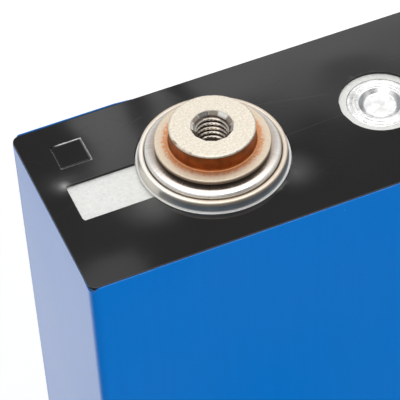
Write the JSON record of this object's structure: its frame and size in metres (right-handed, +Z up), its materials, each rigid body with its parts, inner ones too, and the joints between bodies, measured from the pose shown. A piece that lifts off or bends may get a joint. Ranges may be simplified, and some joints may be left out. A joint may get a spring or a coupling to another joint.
{
  "type": "prismatic battery cell",
  "caption": "Tall flat battery cell in an aluminium can with blue film, black top sheet, threaded studs and a round burst vent.",
  "frame": {"origin": "centre of the underside, on the surface the cell stands on", "axes": "+Z up along the 200 mm height, +X along the 130 mm side towards the positive stud, +Y through the 36 mm thickness towards the back"},
  "size_m": [0.13, 0.036, 0.2005],
  "materials": {
    "can_aluminium": "satin",
    "lid_aluminium": "matt",
    "blue_film": "gloss",
    "black_sheet": "gloss",
    "nickel_plate": "satin",
    "stud_aluminium": "satin",
    "collar_metal": "polished",
    "polished_cup": "mirror",
    "insulating_ceramic": "satin",
    "seal_rubber": "matt",
    "white_plastic": "matt",
    "copper": "satin",
    "vent_aluminium": "bright",
    "bag_plastic": "satin",
    "wound_electrodes": "matt",
    "green_tape": "gloss"
  },
  "bodies": {
    "root": {"can": "can_aluminium", "lid_plate": "lid_aluminium", "side_film": "blue_film", "bottom_film": "blue_film", "top_sheet": "black_sheet", "sheet_square": "black_sheet", "negative_terminal": "nickel_plate", "positive_terminal": "stud_aluminium", "negative_collar": "collar_metal", "positive_collar": "collar_metal", "negative_seal_cup": "polished_cup", "positive_seal_cup": "polished_cup", "negative_insulator": "insulating_ceramic", "positive_insulator": "insulating_ceramic", "negative_seal_ring": "seal_rubber", "positive_seal_ring": "seal_rubber", "negative_lower_insulator": "white_plastic", "positive_lower_insulator": "white_plastic", "negative_collector": "copper", "positive_collector": "stud_aluminium", "negative_tabs": "copper", "positive_tabs": "stud_aluminium", "vent_disc": "vent_aluminium", "vent_guard": "white_plastic", "fill_plug": "seal_rubber", "fill_cap": "vent_aluminium", "inner_lid_frame": "white_plastic", "insulating_bag": "bag_plastic", "bottom_plate": "white_plastic", "front_jelly_roll": "wound_electrodes", "back_jelly_roll": "wound_electrodes", "roll_tapes": "green_tape", "left_spacer": "white_plastic", "right_spacer": "white_plastic"}
  },
  "joints": []
}
